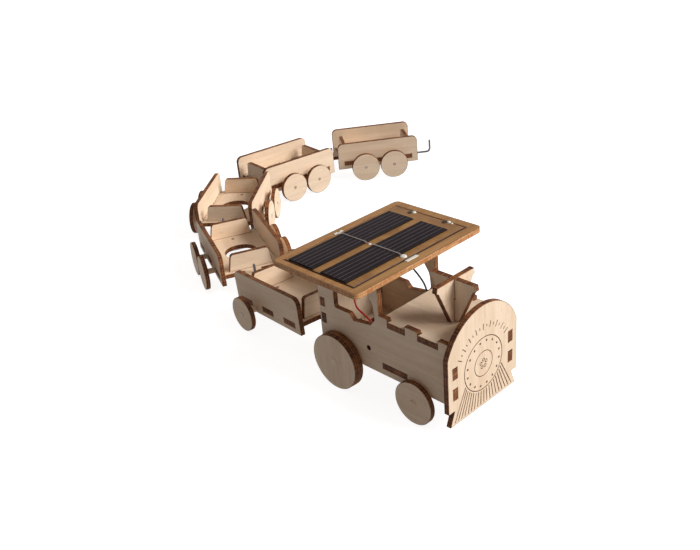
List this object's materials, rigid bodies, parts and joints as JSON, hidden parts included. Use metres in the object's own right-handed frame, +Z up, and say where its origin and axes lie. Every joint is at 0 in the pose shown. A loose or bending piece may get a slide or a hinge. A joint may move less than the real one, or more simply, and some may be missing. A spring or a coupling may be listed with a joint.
{
  "type": "solar toy train",
  "caption": "Laser-cut plywood toy locomotive driven from a solar roof, pulling hook-coupled open wagons on free wheels.",
  "frame": {"origin": "centre of the whole train's bounding box at ground level", "axes": "+X forward along the locomotive, +Y to the locomotive's left, +Z up from the ground; the wagons curve away to the left"},
  "size_m": [0.492, 0.4334, 0.1096],
  "materials": {
    "plywood": "bare birch plywood with laser-burnt edges",
    "plywood_wheels": "bare birch plywood discs on steel axles",
    "module_board": "amber laminate",
    "solar_cell": "dark silicon under clear resin",
    "tinned_ribbon": "tinned copper ribbon",
    "steel_wire": "bent bright steel wire",
    "motor_can": "zinc-plated steel can",
    "nylon": "moulded nylon",
    "rubber_belt": "black rubber cord",
    "red_lead": "soft insulation",
    "black_lead": "soft insulation"
  },
  "bodies": {
    "loco": {"loco_side_right": "plywood", "loco_side_left": "plywood", "loco_front_plate": "plywood", "loco_rear_wall": "plywood", "loco_floor": "plywood", "loco_hood_deck": "plywood", "loco_chimney_long": "plywood", "loco_chimney_cross": "plywood", "loco_roof_board": "plywood", "loco_solar_module": "module_board", "loco_cell_row_rear": "solar_cell", "loco_cell_row_front": "solar_cell", "loco_cell_ribbon": "tinned_ribbon", "loco_motor": "motor_can", "loco_drive_belt": "rubber_belt", "loco_lead_red": "red_lead", "loco_lead_black": "black_lead", "loco_hook": "steel_wire"},
    "loco_rear_axle": {"loco_rear_wheelset": "plywood_wheels"},
    "loco_front_axle": {"loco_front_wheelset": "plywood_wheels"},
    "motor_shaft": {"loco_motor_pulley": "nylon"},
    "wagon_1": {"wagon_1_side_right": "plywood", "wagon_1_side_left": "plywood", "wagon_1_end_rear": "plywood", "wagon_1_end_front": "plywood", "wagon_1_floor": "plywood", "wagon_1_hook": "steel_wire"},
    "wagon_1_rear_axle": {"wagon_1_rear_wheelset": "plywood_wheels"},
    "wagon_2": {"wagon_2_side_right": "plywood", "wagon_2_side_left": "plywood", "wagon_2_end_rear": "plywood", "wagon_2_end_front": "plywood", "wagon_2_floor": "plywood", "wagon_2_hook": "steel_wire"},
    "wagon_2_front_axle": {"wagon_2_front_wheelset": "plywood_wheels"},
    "wagon_2_rear_axle": {"wagon_2_rear_wheelset": "plywood_wheels"},
    "wagon_3": {"wagon_3_side_right": "plywood", "wagon_3_side_left": "plywood", "wagon_3_end_rear": "plywood", "wagon_3_end_front": "plywood", "wagon_3_floor": "plywood", "wagon_3_hook": "steel_wire"},
    "wagon_3_front_axle": {"wagon_3_front_wheelset": "plywood_wheels"},
    "wagon_3_rear_axle": {"wagon_3_rear_wheelset": "plywood_wheels"},
    "wagon_4": {"wagon_4_side_right": "plywood", "wagon_4_side_left": "plywood", "wagon_4_end_rear": "plywood", "wagon_4_end_front": "plywood", "wagon_4_floor": "plywood", "wagon_4_hook": "steel_wire"},
    "wagon_4_front_axle": {"wagon_4_front_wheelset": "plywood_wheels"},
    "wagon_4_rear_axle": {"wagon_4_rear_wheelset": "plywood_wheels"},
    "wagon_5": {"wagon_5_side_right": "plywood", "wagon_5_side_left": "plywood", "wagon_5_end_rear": "plywood", "wagon_5_end_front": "plywood", "wagon_5_floor": "plywood", "wagon_5_hook": "steel_wire"},
    "wagon_5_front_axle": {"wagon_5_front_wheelset": "plywood_wheels"},
    "wagon_5_rear_axle": {"wagon_5_rear_wheelset": "plywood_wheels"}
  },
  "joints": [
    {"name": "loco_rear_axle_spin", "type": "hinge", "parent": "loco", "child": "loco_rear_axle", "pos_m": [0.13998, -0.15154, 0.0223], "axis": [0, 1, 0], "continuous": true},
    {"name": "loco_front_axle_spin", "type": "hinge", "parent": "loco", "child": "loco_front_axle", "pos_m": [0.21398, -0.15154, 0.0166], "axis": [0, 1, 0], "continuous": true},
    {"name": "motor_spin", "type": "hinge", "parent": "loco", "child": "motor_shaft", "pos_m": [0.16848, -0.15154, 0.0414], "axis": [0, 1, 0], "continuous": true},
    {"name": "wagon_1_coupling", "type": "hinge", "parent": "loco", "child": "wagon_1", "pos_m": [0.09228, -0.14754, 0.02336], "axis": [0, 0, 1], "range_deg": [-43.8, 56.2]},
    {"name": "wagon_1_rear_axle_spin", "type": "hinge", "parent": "wagon_1", "child": "wagon_1_rear_axle", "pos_m": [0.02191, -0.13989, 0.015], "axis": [0.108, 0.9942, 0], "continuous": true},
    {"name": "wagon_2_coupling", "type": "hinge", "parent": "wagon_1", "child": "wagon_2", "pos_m": [-0.02422, -0.13488, 0.0194], "axis": [0, 0, 1], "range_deg": [-32.7, 67.3]},
    {"name": "wagon_2_front_axle_spin", "type": "hinge", "parent": "wagon_2", "child": "wagon_2_front_axle", "pos_m": [-0.05623, -0.12097, 0.016], "axis": [0.3987, 0.9171, 0], "continuous": true},
    {"name": "wagon_2_rear_axle_spin", "type": "hinge", "parent": "wagon_2", "child": "wagon_2_rear_axle", "pos_m": [-0.08686, -0.10765, 0.016], "axis": [0.3987, 0.9171, 0], "continuous": true},
    {"name": "wagon_3_coupling", "type": "hinge", "parent": "wagon_2", "child": "wagon_3", "pos_m": [-0.13207, -0.08799, 0.0194], "axis": [0, 0, 1], "range_deg": [-22.8, 77.2]},
    {"name": "wagon_3_front_axle_spin", "type": "hinge", "parent": "wagon_3", "child": "wagon_3_front_axle", "pos_m": [-0.15418, -0.06098, 0.016], "axis": [0.7738, 0.6334, 0], "continuous": true},
    {"name": "wagon_3_rear_axle_spin", "type": "hinge", "parent": "wagon_3", "child": "wagon_3_rear_axle", "pos_m": [-0.17533, -0.03514, 0.016], "axis": [0.7738, 0.6334, 0], "continuous": true},
    {"name": "wagon_4_coupling", "type": "hinge", "parent": "wagon_3", "child": "wagon_4", "pos_m": [-0.20656, 0.00301, 0.0194], "axis": [0, 0, 1], "range_deg": [-3.8, 96.2]},
    {"name": "wagon_4_front_axle_spin", "type": "hinge", "parent": "wagon_4", "child": "wagon_4_front_axle", "pos_m": [-0.20236, 0.03766, 0.016], "axis": [0.9928, -0.1201, 0], "continuous": true},
    {"name": "wagon_4_rear_axle_spin", "type": "hinge", "parent": "wagon_4", "child": "wagon_4_rear_axle", "pos_m": [-0.19835, 0.07082, 0.016], "axis": [0.9928, -0.1201, 0], "continuous": true},
    {"name": "wagon_5_coupling", "type": "hinge", "parent": "wagon_4", "child": "wagon_5", "pos_m": [-0.19243, 0.11976, 0.0194], "axis": [0, 0, 1], "range_deg": [-20.2, 79.8]},
    {"name": "wagon_5_front_axle_spin", "type": "hinge", "parent": "wagon_5", "child": "wagon_5_front_axle", "pos_m": [-0.17157, 0.14774, 0.016], "axis": [0.8018, -0.5976, 0], "continuous": true},
    {"name": "wagon_5_rear_axle_spin", "type": "hinge", "parent": "wagon_5", "child": "wagon_5_rear_axle", "pos_m": [-0.15161, 0.17452, 0.016], "axis": [0.8018, -0.5976, 0], "continuous": true}
  ],
  "couplings": [
    {"joint": "motor_spin", "follows": "loco_rear_axle_spin", "ratio": 2.5385}
  ]
}
